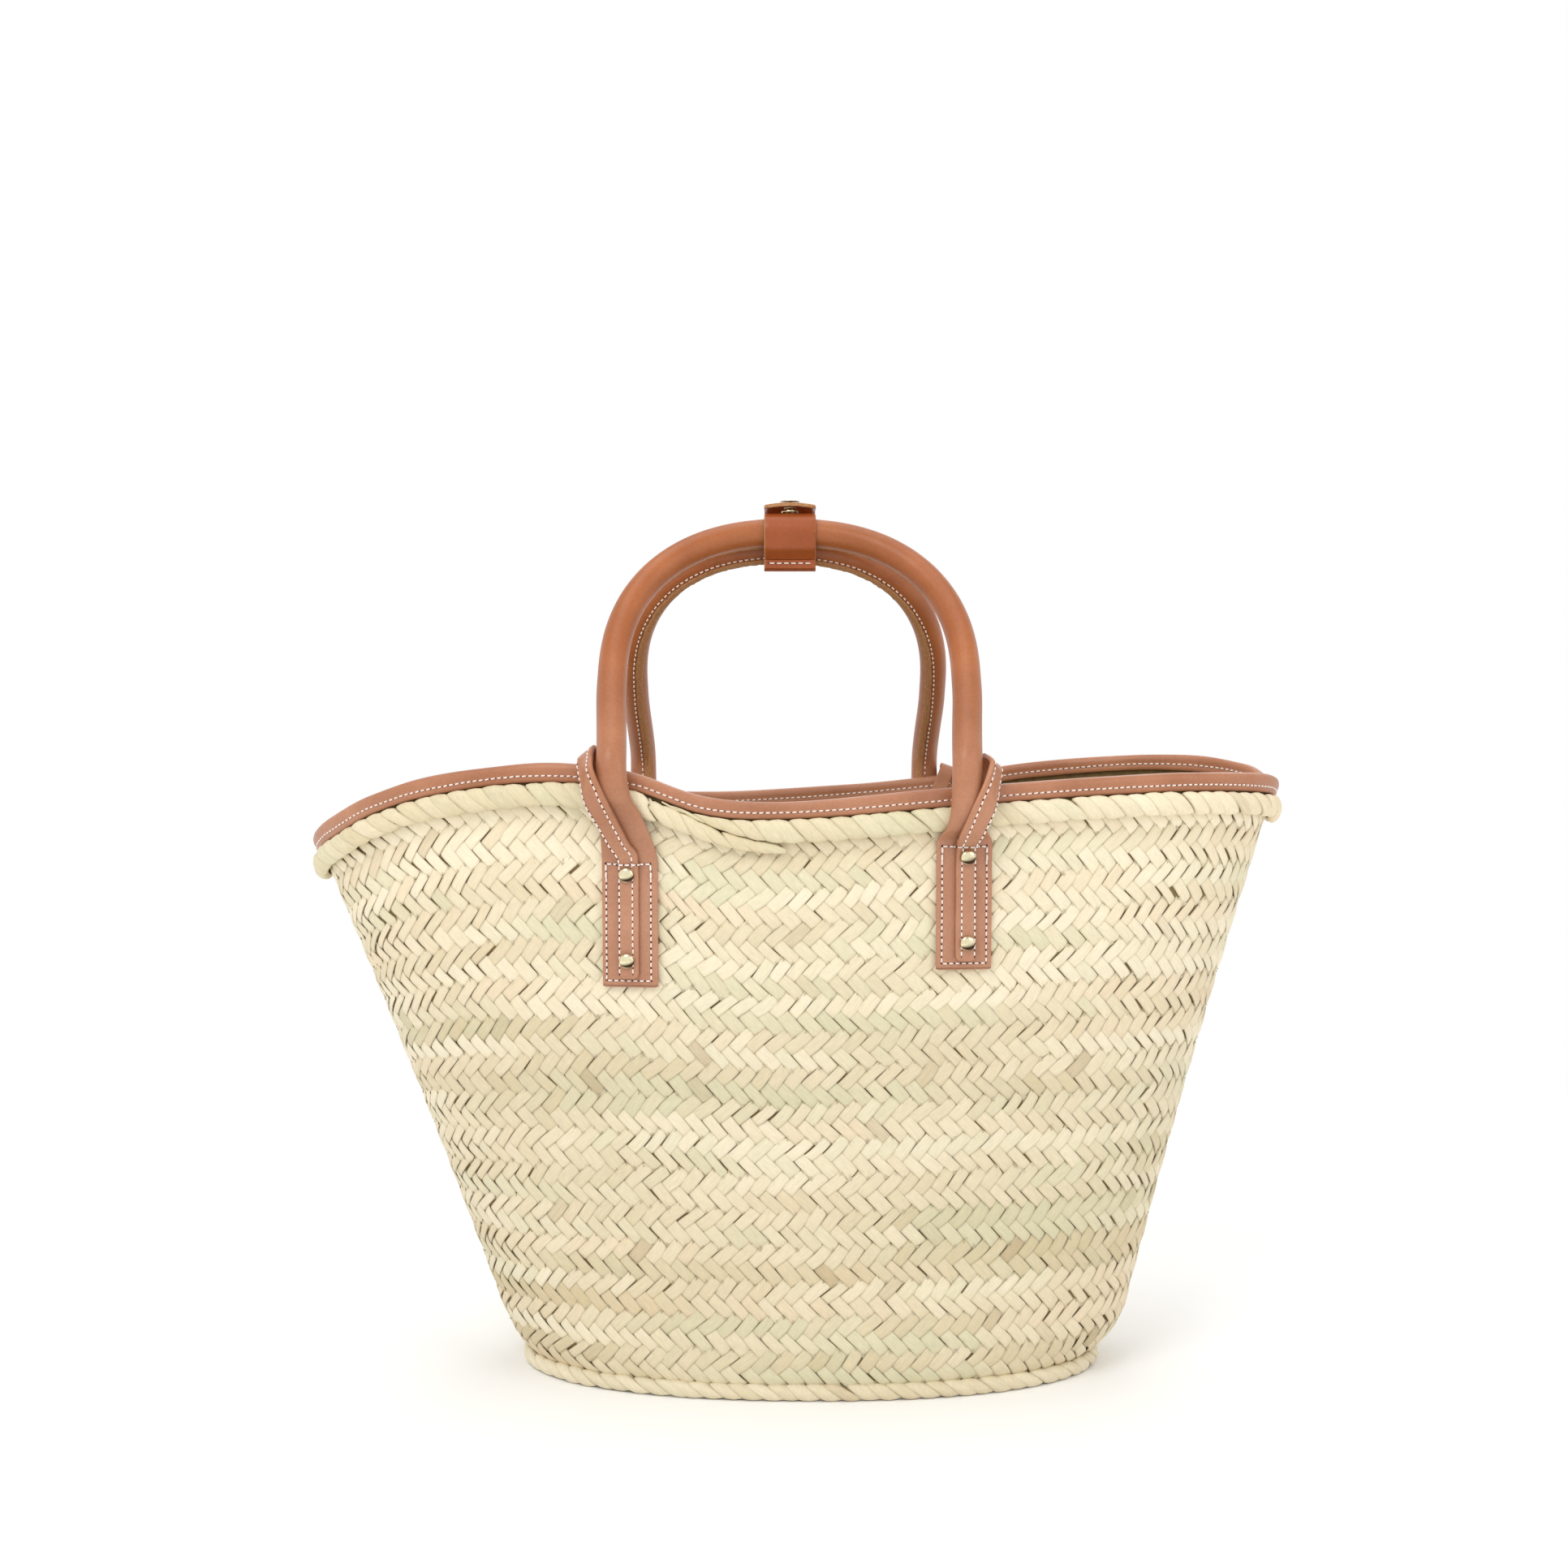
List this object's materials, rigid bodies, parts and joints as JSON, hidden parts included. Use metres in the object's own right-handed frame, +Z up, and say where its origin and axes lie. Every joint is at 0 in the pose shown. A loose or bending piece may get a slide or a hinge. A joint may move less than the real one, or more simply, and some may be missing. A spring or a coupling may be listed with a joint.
{
  "type": "basket",
  "caption": "Oval market basket woven from palm leaf, with rolled leather carrying handles, a leather-bound rim and a snap keeper that holds the handles together.",
  "frame": {"origin": "middle of the basket's bounding box, on the surface it stands on", "axes": "+X along the basket's length, towards its steeper end; +Y from the front to the rear; +Z up"},
  "size_m": [0.4755, 0.2107, 0.4234],
  "materials": {
    "palm_leaf": "plaited dried palm leaf, matte with a faint sheen",
    "leather": "smooth saddle-tan vegetable leather, semi-gloss, raw cut edges",
    "cord": "twisted plain cord",
    "brass": "polished pale gold"
  },
  "bodies": {
    "basket": {"base_mat": "palm_leaf", "foot_rope": "palm_leaf", "front_left_inner_patch": "leather", "front_left_lower_rivet": "brass", "front_left_lower_rivet_back": "brass", "front_left_strap": "leather", "front_left_tab": "leather", "front_left_upper_rivet": "brass", "front_left_upper_rivet_back": "brass", "front_right_inner_patch": "leather", "front_right_lower_rivet": "brass", "front_right_lower_rivet_back": "brass", "front_right_strap": "leather", "front_right_tab": "leather", "front_right_upper_rivet": "brass", "front_right_upper_rivet_back": "brass", "rear_left_inner_patch": "leather", "rear_left_lower_rivet": "brass", "rear_left_lower_rivet_back": "brass", "rear_left_strap": "leather", "rear_left_tab": "leather", "rear_left_upper_rivet": "brass", "rear_left_upper_rivet_back": "brass", "rear_right_inner_patch": "leather", "rear_right_lower_rivet": "brass", "rear_right_lower_rivet_back": "brass", "rear_right_strap": "leather", "rear_right_tab": "leather", "rear_right_upper_rivet": "brass", "rear_right_upper_rivet_back": "brass", "rim_binding": "leather", "rim_rope": "palm_leaf", "side_wall": "palm_leaf"},
    "front_handle": {"front_handle_cover": "leather", "front_handle_core": "cord", "keeper_front_panel": "leather", "keeper_snap_socket": "brass"},
    "rear_handle": {"rear_handle_cover": "leather", "rear_handle_core": "cord"},
    "keeper_back": {"keeper_wrap": "leather"},
    "keeper_end": {"keeper_tip": "leather", "keeper_snap_stud": "brass", "keeper_snap_cap": "brass"}
  },
  "joints": [
    {"name": "front_handle_swing", "type": "hinge", "parent": "basket", "child": "front_handle", "pos_m": [-0.0041, -0.10112, 0.30301], "axis": [1, 0, 0], "range_deg": [0, 120], "deforming": ["keeper_wrap", "keeper_tip"]},
    {"name": "rear_handle_swing", "type": "hinge", "parent": "basket", "child": "rear_handle", "pos_m": [-0.0066, 0.10096, 0.30319], "axis": [-1, 0, 0], "range_deg": [0, 120], "deforming": ["keeper_wrap", "keeper_tip"]},
    {"name": "keeper_back_swing", "type": "hinge", "parent": "front_handle", "child": "keeper_back", "pos_m": [-0.0041, -0.0066, 0.3915], "axis": [-1, 0, 0], "range_deg": [0, 60]},
    {"name": "keeper_end_lift", "type": "hinge", "parent": "keeper_back", "child": "keeper_end", "pos_m": [-0.0041, 0.0182, 0.41], "axis": [-1, 0, 0], "range_deg": [0, 120]}
  ],
  "couplings": [
    {"joint": "keeper_end_lift", "follows": "keeper_back_swing", "ratio": 2}
  ]
}
